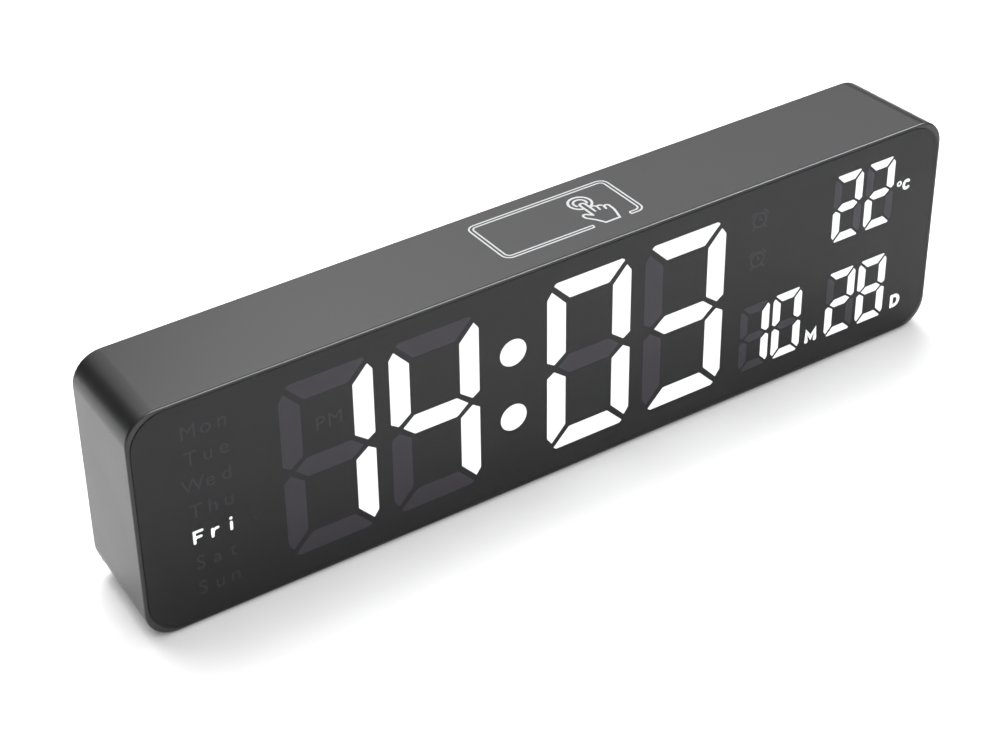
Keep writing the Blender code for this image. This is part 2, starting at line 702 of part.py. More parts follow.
def make_rear_cover():
    cover = case_block("rear_cover", COVER_FRONT, COVER_BACK, RIM_WIDTH + GAP, CORNER - 1.8)
    low_h, high_h = BAY_MID_H - BAY_HALF_H, BAY_MID_H + BAY_HALF_H
    tub_low = (BAY_LEFT - BAY_WALL, BAY_FLOOR - 1.5, low_h - BAY_WALL)
    tub_high = (BAY_RIGHT + BAY_WALL, COVER_FRONT + 0.5, high_h + BAY_WALL)
    fuse(cover, block("battery_tub", tub_low, tub_high))
    post_start = CONTROL_BOARD_BACK + GAP
    posts = [
        rod(f"board_post_{i}", (x, post_start, h), 2.8, COVER_FRONT + GAP - post_start, sides=14)
        for i, (x, h) in enumerate(CONTROL_POSTS)
    ]
    pillar_start = DISPLAY_BOARD_BACK + GAP
    pillars = [
        rod(f"pillar_{i}", (x, pillar_start, h), 2.4, COVER_FRONT + 0.5 - pillar_start, sides=12)
        for i, (x, h) in enumerate(PILLARS)
    ]
    fuse(cover, *posts, *pillars)

    bay_low, bay_high = (BAY_LEFT, BAY_FLOOR, low_h), (BAY_RIGHT, COVER_BACK + 1, high_h)
    lip_low = (BAY_LEFT - DOOR_LIP, DOOR_FRONT - GAP, low_h - DOOR_LIP)
    lip_high = (BAY_RIGHT + DOOR_LIP, COVER_BACK + 1, high_h + DOOR_LIP)
    cut(cover, block("battery_bay", bay_low, bay_high), block("door_rebate", lip_low, lip_high))
    for name, (low, high) in contact_tabs().items():
        widened_low = [value - GAP for value in low]
        widened_high = [value + GAP for value in high]
        cut(cover, block(f"{name}_slot", widened_low, widened_high))

    holes = [
        rod(f"post_hole_{i}", (x, CONTROL_BOARD_BACK - 1, h), 1.2, 7, sides=10)
        for i, (x, h) in enumerate(CONTROL_POSTS)
    ]
    for number, (x, h) in enumerate(COVER_SCREWS):
        holes.append(rod(f"screw_way_{number}", (x, COVER_FRONT - 1, h), 1.5, 5, sides=10))
        holes.append(rod(f"screw_well_{number}", (x, COVER_BACK - 1.4, h), 2.8, 3, sides=16))
    for name, x in BUTTONS.items():
        start = (x, COVER_FRONT - 1, BUTTON_H)
        holes.append(rod(f"{name}_button_hole", start, BUTTON_RADIUS + GAP, 5, sides=24))
    for number in range(7):
        angle = math.radians(60 * number)
        away = 3.4 if number < 6 else 0
        place = (BUZZER[0] + away * math.cos(angle), COVER_FRONT - 1, BUZZER[1] + away * math.sin(angle))
        holes.append(rod(f"sound_hole_{number}", place, 0.9, 5, sides=10))
    cut(cover, *holes)

    x, h = USB
    way = block("usb_way", (x - 4.8, COVER_FRONT - 1, h - 1.95), (x + 4.8, COVER_BACK + 1, h + 1.95))
    recess_low = (x - 6.7, COVER_BACK - 0.9, h - 3.7)
    recess = block("usb_recess", recess_low, (x + 6.7, COVER_BACK + 3, h + 3.7))
    cut(cover, soften(way, 1.3), soften(recess, 1.2))
    for number, (x, h) in enumerate(KEYHOLES):
        head = rod(f"keyhole_head_{number}", (x, COVER_FRONT - 1, h), KEYHOLE_HEAD, 5, sides=24)
        end_h = h + KEYHOLE_RISE
        slot_low = (x - KEYHOLE_SLOT, COVER_FRONT - 1.2, h)
        slot = block(f"keyhole_slot_{number}", slot_low, (x + KEYHOLE_SLOT, COVER_BACK + 1.2, end_h))
        end_start = (x, COVER_FRONT - 1, end_h)
        end = rod(f"keyhole_end_{number}", end_start, KEYHOLE_SLOT, 5, sides=16)
        cut(cover, head, slot, end)
    for number in range(VENTS):
        vent_h = VENT_H + (number - (VENTS - 1) / 2) * VENT_PITCH
        low = (VENT_X[0], COVER_FRONT - 1, vent_h - VENT_WIDTH / 2)
        high = (VENT_X[1], COVER_BACK + 1, vent_h + VENT_WIDTH / 2)
        cut(cover, block(f"vent_{number}", low, high))
    finish(cover, "case_plastic")

    for number, (x, h) in enumerate(COVER_SCREWS):
        screw(f"cover_screw_{number + 1}", (x, COVER_BACK - 1.4 + GAP, h), 8)


def make_battery_door():
    """Lift-off door: a plate flush with the cover, a latch tongue above and two tabs below."""
    low = (BAY_LEFT - DOOR_LIP + GAP, DOOR_FRONT, BAY_MID_H - BAY_HALF_H - DOOR_LIP + GAP)
    high = (BAY_RIGHT + DOOR_LIP - GAP, COVER_BACK, BAY_MID_H + BAY_HALF_H + DOOR_LIP - GAP)
    door = block("battery_door", low, high)
    middle_x = (BAY_LEFT + BAY_RIGHT) / 2
    top, bottom = BAY_MID_H + BAY_HALF_H, BAY_MID_H - BAY_HALF_H
    into_door = DOOR_FRONT + 0.3
    latch_low = (middle_x - 4, 12.5, top - 1.6)
    fuse(door, block("door_latch", latch_low, (middle_x + 4, into_door, top - 0.4)))
    for side in (-1, 1):
        x = middle_x + side * 17
        tab_low = (x - 3, 14, bottom + 0.4)
        fuse(door, block(f"door_tab_{side}", tab_low, (x + 3, into_door, bottom + 1.6)))
    for number in range(3):
        h = top - 3.0 - number * 2.2
        groove_low = (middle_x - 6, COVER_BACK - 0.5, h - 0.5)
        groove_high = (middle_x + 6, COVER_BACK + 1, h + 0.5)
        cut(door, block(f"door_grip_{number}", groove_low, groove_high))
    finish(door, "case_plastic")


def cell_heights():
    return [BAY_MID_H + offset * CELL_PITCH for offset in (1, 0, -1)]


def contact_tabs():
    """Solder tabs of the two end contacts, which pass through the bay's end walls."""
    heights = cell_heights()
    y_low, y_high = 8.0, 8.4
    half_tall, reach = 1.5, BAY_WALL + 2.5
    (left_low, _), (_, right_high) = bay_ends()
    return {
        "battery_contact_negative": (
            (BAY_LEFT - reach, y_low, heights[2] - half_tall),
            (left_low + 0.2, y_high, heights[2] + half_tall),
        ),
        "battery_contact_positive": (
            (right_high - 0.2, y_low, heights[0] - half_tall),
            (BAY_RIGHT + reach, y_high, heights[0] + half_tall),
        ),
    }


def make_batteries():
    """Three cells in series, alternate ways round, each between a coil spring and a contact plate."""
    heights = cell_heights()
    (left_low, left_high), (right_low, right_high) = bay_ends()
    cell = [
        (0, CELL_LENGTH + NUB_LENGTH),
        (NUB_RADIUS, CELL_LENGTH + NUB_LENGTH),
        (NUB_RADIUS, CELL_LENGTH),
        (CELL_RADIUS - 0.5, CELL_LENGTH),
        (CELL_RADIUS, CELL_LENGTH - 0.4),
        (CELL_RADIUS, 0.4),
        (CELL_RADIUS - 0.5, 0),
        (0, 0),
    ]
    for number, h in enumerate(heights):
        reversed_cell = number == 1
        long_side = left_high + GAP if reversed_cell else left_high + 2 * GAP + SPRING_LENGTH
        start = (long_side, CELL_Y, h)
        battery = turned(f"battery_{number + 1}", cell, start, "x", flip=reversed_cell, steps=20)
        finish(battery, "cell_jacket")
        wide_end = right_low - GAP if reversed_cell else left_high + GAP
        towards = -1 if reversed_cell else 1
        finish(tube(f"battery_spring_{number + 1}", coil(wide_end, towards, h), 0.35), "nickel")

    plate_half = 4.6
    y_low, y_high = CELL_Y - plate_half, CELL_Y + plate_half
    plates = {
        "battery_contact_link_left": (left_low, left_high, heights[1], heights[0]),
        "battery_contact_negative": (left_low, left_high, heights[2], heights[2]),
        "battery_contact_positive": (right_low, right_high, heights[0], heights[0]),
        "battery_contact_link_right": (right_low, right_high, heights[2], heights[1]),
    }
    tabs = contact_tabs()
    for name, (low_x, high_x, low_h, high_h) in plates.items():
        plate = block(name, (low_x, y_low, low_h - plate_half), (high_x, y_high, high_h + plate_half))
        if name in tabs:
            fuse(plate, block(name + "_tab", *tabs[name]))
        finish(plate, "nickel")


def coil(wide_end, towards, h):
    """Points of a conical spring along X, wide where it meets its contact plate."""
    turns, per_turn, wire = 2.5, 10, 0.35
    count = int(turns * per_turn)
    points = []
    for step in range(count + 1):
        share = step / count
        angle = 2 * math.pi * turns * share
        radius = 3.7 - 1.6 * share
        x = wide_end + towards * (wire + share * (SPRING_LENGTH - 2 * wire))
        points.append((x, CELL_Y + radius * math.cos(angle), h + radius * math.sin(angle)))
    return points


def make_battery_leads():
    """Leads from the two end contacts to the right edge of the control board."""
    board_edge = CONTROL_BOARD[1][0] + 0.8
    heights = cell_heights()
    tabs = contact_tabs()
    negative_x = tabs["battery_contact_negative"][0][0] - 0.9
    negative = [
        (negative_x, 8.2, heights[2]), (negative_x - 4, 7.6, heights[2] + 1), (8, 7.0, -20), (0, 7.8, -16),
        (-4, 8.3, -13), (board_edge, 8.4, -12),
    ]
    finish(tube("battery_lead_negative", negative, 0.6), "black_wire")
    positive_x = tabs["battery_contact_positive"][1][0] + 0.9
    positive = [
        (positive_x, 8.2, heights[0]), (positive_x + 1.2, 6, heights[0]), (positive_x, 3, heights[0]),
        (80, 1.8, 0), (60, 1.4, 2), (40, 1.4, 2), (24, 2.0, 0), (12, 4.5, -3), (4, 7.2, -5),
        (-3, 8.4, -6), (board_edge, 8.4, -6),
    ]
    finish(tube("battery_lead_positive", positive, 0.6), "red_wire")


make_housing()
make_feet()
make_front()
make_light_box()
make_display_board()
make_control_board()
make_usb_socket()
make_buttons()
make_ribbon()
make_touch_sensor()
make_rear_cover()
make_battery_door()
make_batteries()
make_battery_leads()
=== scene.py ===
"""Looks of a long digital LED alarm clock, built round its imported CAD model.

The frame is the CAD one, in metres: X runs along the clock, the display faces -Y and +Z is up.
Sizes below are in millimetres, and MM turns them into metres. A height called h is measured
from the middle of the case, and s is a distance behind the front edge of the sloping top.
"""

import json
import math

import bmesh
import bpy
from mathutils import Matrix, Vector

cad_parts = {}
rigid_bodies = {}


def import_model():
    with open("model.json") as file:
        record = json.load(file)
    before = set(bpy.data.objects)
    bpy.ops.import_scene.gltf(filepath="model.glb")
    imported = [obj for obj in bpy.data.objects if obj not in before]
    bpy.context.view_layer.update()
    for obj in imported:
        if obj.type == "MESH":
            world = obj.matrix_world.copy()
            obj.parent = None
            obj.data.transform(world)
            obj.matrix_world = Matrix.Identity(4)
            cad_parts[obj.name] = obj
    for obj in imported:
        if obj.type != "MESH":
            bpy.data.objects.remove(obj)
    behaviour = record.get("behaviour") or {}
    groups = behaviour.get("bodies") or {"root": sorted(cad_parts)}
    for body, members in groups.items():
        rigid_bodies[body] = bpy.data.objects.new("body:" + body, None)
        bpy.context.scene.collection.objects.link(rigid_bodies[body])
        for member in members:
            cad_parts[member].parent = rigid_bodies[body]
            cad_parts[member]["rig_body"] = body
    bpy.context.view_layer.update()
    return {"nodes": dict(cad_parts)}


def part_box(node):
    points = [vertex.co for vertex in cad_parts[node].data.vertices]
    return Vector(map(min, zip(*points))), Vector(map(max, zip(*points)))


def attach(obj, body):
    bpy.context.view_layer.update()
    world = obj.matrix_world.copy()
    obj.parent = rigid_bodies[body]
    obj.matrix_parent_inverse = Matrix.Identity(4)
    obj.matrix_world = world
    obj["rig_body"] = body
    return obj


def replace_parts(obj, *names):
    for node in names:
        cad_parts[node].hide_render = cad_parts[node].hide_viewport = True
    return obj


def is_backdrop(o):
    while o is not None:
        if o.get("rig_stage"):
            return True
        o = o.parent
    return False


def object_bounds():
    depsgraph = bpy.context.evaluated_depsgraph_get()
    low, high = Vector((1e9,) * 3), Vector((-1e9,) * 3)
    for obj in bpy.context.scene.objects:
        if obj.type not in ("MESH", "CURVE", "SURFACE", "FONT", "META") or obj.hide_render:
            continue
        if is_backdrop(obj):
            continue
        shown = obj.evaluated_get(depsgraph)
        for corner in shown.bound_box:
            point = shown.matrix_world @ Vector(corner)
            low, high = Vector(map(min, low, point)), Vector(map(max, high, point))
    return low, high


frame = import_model()
NODES = frame["nodes"]

MM = 0.001

# Display layout, as in the CAD model: digits are (width, height, stroke)
MID_Z = 42.8
BIG_DIGIT = (32.7, 65.3, 7.2)
SMALL_DIGIT = (12.5, 26.2, 3.2)
BIG_LEFTS = (-104.9, -66.5, -8.0, 30.3)
DATE_LEFTS = (71.2, 85.3, 109.0, 123.05)
TEMPERATURE_LEFTS = DATE_LEFTS[2:]
DIGIT_BASE = -32.6
TEMPERATURE_BASE = 6.4
COLON_X = -21.0
COLON_H = 12.7
COLON_RADIUS = 5.0
WEEKDAY_PITCH = 9.85
WEEKDAY_BASE = -32.0
WEEKDAY_COLUMNS = (-134.8, -129.0, -123.6)
WEEKDAY_CAP = 5.1
ICONS = ((77.0, 27.3), (77.0, 11.8))
# What the display shows
TIME = "1403"
DATE = "1028"
TEMPERATURE = "22"
WEEKDAYS = ("Sun", "Sat", "Fri", "Thu", "Wed", "Tue", "Mon")
TODAY = "Fri"
# The lit bars of each numeral, in the letters a to g of a seven-segment digit
BAR_ORDER = "abfgdce"
LIT_BARS = {"0": "abcdef", "1": "bc", "2": "abged", "3": "abgcd", "4": "fgbc", "8": "abcdefg"}
# The unlit mark PM, between the bars of the first big digit
PM_COLUMNS = (-91.0, -85.9)
PM_BASE = 12.0
PM_CAP = 5.0

# The lens, measured back from its front face: the smoked sheet ends at LENS_SHEET, the backs of
# the bars are at BAR_PLACE and the dark sheet starts at MASK_FRONT
LENS_SHEET = 0.9
BAR_PLACE = 0.96
BAR_THICK = 0.02
MASK_FRONT = 0.98
LENS_CORNER = 11.7
# How far the smoked sheet reaches past the CAD lens, into the gap round it
LENS_SEAT = 0.24
# The polished round on the sheet's front edge, and how close to a face a point counts as on it
LENS_ROUND = 0.2
HAIR = 0.01

# Faces that printed marks lie on: from the frame, and the sloping top as in the CAD model
LENS_LOW, LENS_HIGH = [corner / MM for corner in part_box("front_lens")]
COVER_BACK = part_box("rear_cover")[1].y / MM
CASE_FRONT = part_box("housing")[0].y / MM
TOP_EDGE = 84.8
TOP_FALL = 1.6 / 39.7
INK = 0.03
# Where strokes of one picture cross, each lies this much higher than the last
INK_STEP = 0.002
BUTTONS = ("mode", "set", "up", "down")
ICON_H = 12.6
BOLT_H = -5.0
DOOR_ARROW_H = -5.0

# Repair of the faceted CAD meshes: corners closer than WELD are one, in metres, and faces that
# meet at less than FLAT degrees are one
WELD = 0.000002
FLAT = 0.4
EDGE_SEGMENTS = 2


# ---------------------------------------------------------------- materials


class Paint:
    """A procedural material being built, in the object's own coordinates, which are metres."""

    def __init__(self, name, **constants):
        self.material = bpy.data.materials.new(name)
        self.material.use_nodes = True
        self.nodes = self.material.node_tree.nodes
        self.links = self.material.node_tree.links
        self.shader = self.nodes["Principled BSDF"]
        self.space = self.nodes.new("ShaderNodeTexCoord").outputs["Object"]
        for socket, value in constants.items():
            self.put(socket.replace("_", " "), value)

    def put(self, socket, value):
        """Sets an input of the shader, to a number, a colour or another node's output."""
        target = self.shader.inputs[socket]
        if isinstance(value, bpy.types.NodeSocket):
            self.links.new(value, target)
        elif isinstance(value, tuple):
            target.default_value = (*value, 1.0)
        else:
            target.default_value = value

    def feed(self, node, key, value):
        """Sets an input of any node, in the same way."""
        if isinstance(value, bpy.types.NodeSocket):
            self.links.new(value, node.inputs[key])
        elif isinstance(value, tuple) and len(node.inputs[key].default_value) == 4:
            node.inputs[key].default_value = (*value, 1.0)
        else:
            node.inputs[key].default_value = value

    def noise(self, grain, detail, stretch=None):
        """Noise whose features are about grain millimetres across, from 0 to 1."""
        node = self.nodes.new("ShaderNodeTexNoise")
        self.feed(node, "Vector", self.stretched(stretch) if stretch else self.space)
        node.inputs["Scale"].default_value = 1 / (grain * MM)
        node.inputs["Detail"].default_value = detail
        return node.outputs[0]

    def cells(self, pitch, feature="F1"):
        """Scattered cells pitch millimetres apart: the distance from a middle or edge, and a colour."""
        node = self.nodes.new("ShaderNodeTexVoronoi")
        self.feed(node, "Vector", self.space)
        node.feature = feature
        node.inputs["Scale"].default_value = 1 / (pitch * MM)
        return node.outputs

    def stretched(self, factors):
        """The object's coordinates, multiplied by a factor for each axis."""
        node = self.nodes.new("ShaderNodeVectorMath")
        node.operation = "MULTIPLY"
        self.feed(node, 0, self.space)
        node.inputs[1].default_value = factors
        return node.outputs[0]

    def along(self, axis):
        """The coordinate along x, y or z, in millimetres."""
        node = self.nodes.new("ShaderNodeSeparateXYZ")
        self.feed(node, 0, self.space)
        return self.maths("MULTIPLY", node.outputs["xyz".index(axis)], 1 / MM)

    def maths(self, operation, first, second=0.0):
        """Arithmetic on one or two numbers or outputs."""
        node = self.nodes.new("ShaderNodeMath")
        node.operation = operation
        self.feed(node, 0, first)
        self.feed(node, 1, second)
        return node.outputs[0]

    def scaled(self, value, low, high, to_low=0.0, to_high=1.0):
        """value mapped from low..high to to_low..to_high, and kept between them."""
        node = self.nodes.new("ShaderNodeMapRange")
        self.feed(node, 0, value)
        for index, number in enumerate((low, high, to_low, to_high), start=1):
            node.inputs[index].default_value = number
        return node.outputs[0]

    def blend(self, factor, first, second):
        """A colour between two colours."""
        node = self.nodes.new("ShaderNodeMix")
        node.data_type = "RGBA"
        self.feed(node, 0, factor)
        self.feed(node, 6, first)
        self.feed(node, 7, second)
        return node.outputs[2]

    def relief(self, height, depth, strength=1.0, under=None):
        """Bump from a 0 to 1 height, depth millimetres deep, over an earlier bump if there is one."""
        node = self.nodes.new("ShaderNodeBump")
        node.inputs["Strength"].default_value = strength
        node.inputs["Distance"].default_value = depth * MM
        self.feed(node, "Height", height)
        if under is not None:
            self.feed(node, "Normal", under)
        self.put("Normal", node.outputs[0])
        return node.outputs[0]


def moulded(name, dark, light, roughness, grain, depth, mottle=9.0):
    """Moulded plastic, rubber or resin: faint mottling, a fine surface grain and uneven gloss."""
    paint = Paint(name)
    cloud = paint.noise(mottle, 3.0)
    fine = paint.noise(grain, 3.0)
    broad, small = paint.scaled(cloud, 0.3, 0.7, 0, 0.6), paint.scaled(fine, 0.3, 0.7, 0, 0.4)
    paint.put("Base Color", paint.blend(paint.maths("ADD", broad, small), dark, light))
    paint.put("Roughness", paint.scaled(paint.maths("ADD", cloud, fine), 0.6, 1.4, *roughness))
    paint.relief(fine, depth)
    return paint.material


def case_plastic():
    """Black ABS with a fine spark-eroded grain and a few specks of dust."""
    paint = Paint("case_plastic_abs")
    paint.put("IOR", 1.46)
    cloud = paint.noise(30, 3.0)
    grain = paint.noise(0.45, 4.0)
    dust = paint.cells(7.0)
    red = paint.nodes.new("ShaderNodeSeparateColor")
    paint.feed(red, 0, dust["Color"])
    chosen = paint.maths("GREATER_THAN", red.outputs[0], 0.8)
    speck = paint.maths("MULTIPLY", paint.maths("LESS_THAN", dust["Distance"], 0.018), chosen)
    base = paint.blend(paint.scaled(cloud, 0.35, 0.65), (0.008, 0.008, 0.009), (0.011, 0.011, 0.012))
    paint.put("Base Color", paint.blend(speck, base, (0.09, 0.09, 0.09)))
    paint.put("Roughness", paint.scaled(paint.maths("ADD", cloud, grain), 0.7, 1.3, 0.30, 0.36))
    coarse = paint.relief(grain, 0.012, 0.6)
    paint.relief(speck, 0.03, 0.5, coarse)
    return paint.material


def smoked_lens(name, alpha):
    """Smoked acrylic with faint wiping marks. Its tint is in alpha, from 0, clear, to 1."""
    paint = Paint(name)
    paint.put("Alpha", alpha)
    paint.put("IOR", 1.36)
    wiped = paint.noise(16, 2.0, (0.4, 1.0, 1.4))
    paint.put("Base Color", paint.blend(wiped, (0.0035, 0.0035, 0.004), (0.0055, 0.0055, 0.006)))
    paint.put("Roughness", paint.scaled(wiped, 0.35, 0.7, 0.03, 0.06))
    return paint.material


def lit(name):
    """A diffuser bar with its light on."""
    paint = Paint(name)
    grain = paint.noise(0.4, 2.0)
    white = paint.blend(grain, (0.94, 0.97, 1.0), (1.0, 1.0, 1.0))
    paint.put("Base Color", white)
    paint.put("Emission Color", white)
    paint.put("Emission Strength", 7.4)
    paint.put("Roughness", 0.5)
    return paint.material


def cell_sleeve(name, low_x, high_x, nub_high):
    """Battery sleeve: a dark body, a bright band and a thin line at the nub end, and bare metal ends."""
    paint = Paint(name)
    x = paint.along("x")

    def between(start, end):
        after, before = paint.maths("GREATER_THAN", x, start), paint.maths("LESS_THAN", x, end)
        return paint.maths("MULTIPLY", after, before)

    band_near, band_far, line_gap, line_half = 0.9, 12.0, 0.9, 0.35
    bare_end, nub = 0.7, 0.8
    if nub_high:
        band_start, band_end = high_x - band_far, high_x - band_near
        line_at = band_start - line_gap
        jacket_low, jacket_high = low_x + bare_end, high_x - bare_end - nub
    else:
        band_start, band_end = low_x + band_near, low_x + band_far
        line_at = band_end + line_gap
        jacket_low, jacket_high = low_x + bare_end + nub, high_x - bare_end
    in_band = between(band_start, band_end)
    from_line = paint.maths("ABSOLUTE", paint.maths("SUBTRACT", x, line_at))
    near_line = paint.maths("LESS_THAN", from_line, line_half)
    jacket = between(jacket_low, jacket_high)
    worn = paint.noise(0.8, 3.0, (0.2, 1.0, 1.0))
    body = paint.blend(worn, (0.018, 0.06, 0.045), (0.03, 0.085, 0.065))
    striped = paint.blend(in_band, body, (0.62, 0.36, 0.07))
    striped = paint.blend(near_line, striped, (0.7, 0.7, 0.68))
    paint.put("Base Color", paint.blend(jacket, (0.6, 0.6, 0.58), striped))
    paint.put("Metallic", paint.scaled(jacket, 0, 1, 1.0, 0.25))
    paint.put("Roughness", paint.scaled(worn, 0.3, 0.7, 0.22, 0.38))
    paint.relief(worn, 0.01, 0.5)
    return paint.material


def circuit_board():
    """Green solder mask over copper tracks, with small plated holes."""
    paint = Paint("circuit_board_mask")
    track = paint.cells(4.0, "DISTANCE_TO_EDGE")["Distance"]
    hole = paint.cells(5.5)["Distance"]
    mask = paint.noise(6, 3.0)
    green = paint.blend(mask, (0.012, 0.10, 0.035), (0.018, 0.14, 0.05))
    raised = paint.scaled(track, 0.05, 0.09, 1.0, 0.0)
    green = paint.blend(raised, green, (0.035, 0.22, 0.09))
    plated = paint.maths("LESS_THAN", hole, 0.07)
    paint.put("Base Color", paint.blend(plated, green, (0.7, 0.6, 0.35)))
    paint.put("Metallic", plated)
    paint.put("Roughness", paint.scaled(mask, 0.3, 0.7, 0.28, 0.4))
    paint.relief(raised, 0.035)
    return paint.material


def metal(name, dark, light, roughness, drawn_out=0.15):
    """Plated or bare metal with uneven tarnish. drawn_out under 1 makes its fine marks long along X."""
    paint = Paint(name, Metallic=1.0)
    drawn = paint.noise(0.15, 3.0, (drawn_out, 1.0, 1.0))
    cloud = paint.noise(3.0, 3.0)
    paint.put("Base Color", paint.blend(cloud, dark, light))
    paint.put("Roughness", paint.scaled(paint.maths("ADD", drawn, cloud), 0.6, 1.4, *roughness))
    paint.relief(drawn, 0.004, 0.6)
    return paint.material


def floor_paint():
    """White sweep of a light table, glowing a little from below."""
    paint = Paint("white_sweep")
    paper = paint.noise(25, 3.0)
    white = paint.blend(paper, (0.80, 0.80, 0.80), (0.82, 0.82, 0.82))
    paint.put("Base Color", white)
    paint.put("Roughness", 0.9)
    paint.put("Emission Color", white)
    paint.put("Emission Strength", 0.15)
    paint.relief(paint.noise(1.5, 3.0), 0.05, 0.3)
    return paint.material


# moulded: dark and light tone, least and greatest roughness, grain and its depth, mottle
PAINTS = {
    "case": case_plastic(),
    "lens": smoked_lens("smoked_lens_acrylic", 0.85),
    "lens_back": smoked_lens("smoked_lens_clear_back", 0.02),
    "tape": moulded("foam_tape_foam", (0.012,) * 3, (0.03,) * 3, (0.85, 0.95), 0.5, 0.1),
    "film": moulded("mask_film_ink", (0.008, 0.007, 0.009), (0.011, 0.010, 0.013), (0.45, 0.6), 1.5, 0.0),
    "ghost": moulded("unlit_diffuser", (0.50, 0.44, 0.59), (0.60, 0.52, 0.69), (0.5, 0.6), 1.5, 0.0),
    "faint": moulded("unlit_letter_diffuser", (0.27, 0.24, 0.31), (0.34, 0.30, 0.38), (0.5, 0.6), 1.5, 0.0),
    "lit": lit("lit_diffuser"),
    "white": moulded("white_plastic_pbt", (0.74, 0.74, 0.72), (0.80, 0.80, 0.78), (0.45, 0.6), 0.5, 0.015),
    "board": circuit_board(),
    "resin": moulded("black_resin_epoxy", (0.012,) * 3, (0.022,) * 3, (0.35, 0.5), 0.2, 0.01, 2.0),
    "nickel": metal("nickel_plate", (0.52, 0.50, 0.46), (0.68, 0.66, 0.62), (0.2, 0.36)),
    "copper": metal("copper_foil", (0.62, 0.30, 0.17), (0.78, 0.44, 0.29), (0.25, 0.42)),
    "steel": metal("black_oxide_steel", (0.05, 0.05, 0.055), (0.10, 0.10, 0.105), (0.3, 0.45), 1.0),
    "rubber": moulded("button_rubber_silicone", (0.02,) * 3, (0.032,) * 3, (0.6, 0.72), 0.25, 0.012, 3.0),
    "foot": moulded("foot_rubber_foam", (0.02,) * 3, (0.04,) * 3, (0.75, 0.9), 0.4, 0.05, 3.0),
    "ribbon": moulded("ribbon_jacket", (0.40, 0.40, 0.42), (0.50, 0.50, 0.52), (0.4, 0.5), 0.3, 0.01),
    "red": moulded("red_wire_jacket", (0.42, 0.02, 0.015), (0.55, 0.03, 0.02), (0.4, 0.5), 0.3, 0.01),
    "black": moulded("black_wire_jacket", (0.012,) * 3, (0.02,) * 3, (0.4, 0.5), 0.3, 0.01),
    "ink": moulded("printed_ink", (0.28, 0.285, 0.29), (0.33, 0.335, 0.34), (0.45, 0.6), 0.15, 0.006, 1.2),
}


# ---------------------------------------------------------------- shapes


def link(name, mesh, body, paint):
    """A piece that rides on a body. paint is a key of PAINTS, or a material."""
    obj = bpy.data.objects.new(name, mesh)
    bpy.context.scene.collection.objects.link(obj)
    mesh.materials.append(PAINTS.get(paint, paint))
    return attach(obj, body)


def smooth(mesh, angle):
    """Smooth shading, except over edges sharper than an angle in degrees."""
    mesh.shade_smooth()
    mesh.set_sharp_from_angle(angle=math.radians(angle))


def keep_normals(obj):
    """Lets large flat faces decide the shading of the small faces beside them."""
    modifier = obj.modifiers.new("normals", "WEIGHTED_NORMAL")
    modifier.keep_sharp = True
    return obj


def fine_copy(node, paint, bevel, angle):
    """A welded, smooth-shaded copy of a CAD node with its sharp edges broken. It stands for the node."""
    source = NODES[node].data
    shape = bmesh.new()
    corners = [shape.verts.new(vertex.co) for vertex in source.vertices]
    for polygon in source.polygons:
        shape.faces.new([corners[i] for i in polygon.vertices])
    bmesh.ops.remove_doubles(shape, verts=shape.verts, dist=WELD)
    bmesh.ops.dissolve_limit(shape, angle_limit=math.radians(FLAT), verts=shape.verts, edges=shape.edges)
    mesh = bpy.data.meshes.new(node + "_fine")
    shape.to_mesh(mesh)
    shape.free()
    smooth(mesh, angle)
    obj = link(node + "_fine", mesh, NODES[node]["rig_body"], paint)
    if bevel:
        modifier = obj.modifiers.new("edges", "BEVEL")
        modifier.width = bevel * MM
        modifier.segments = EDGE_SEGMENTS
        modifier.limit_method = "ANGLE"
        modifier.angle_limit = math.radians(angle)
    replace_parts(obj, node)
    return keep_normals(obj)


def plate(shape, outline, place, low, high):
    """Adds a flat plate to a bmesh. place turns (across, up, lift) into a point, lift from low to high."""
    bottom = [shape.verts.new(place(a, b, low)) for a, b in outline]
    top = [shape.verts.new(place(a, b, high)) for a, b in outline]
    shape.faces.new(bottom)
    shape.faces.new(top)
    for i in range(len(outline)):
        j = (i + 1) % len(outline)
        shape.faces.new((bottom[i], bottom[j], top[j], top[i]))


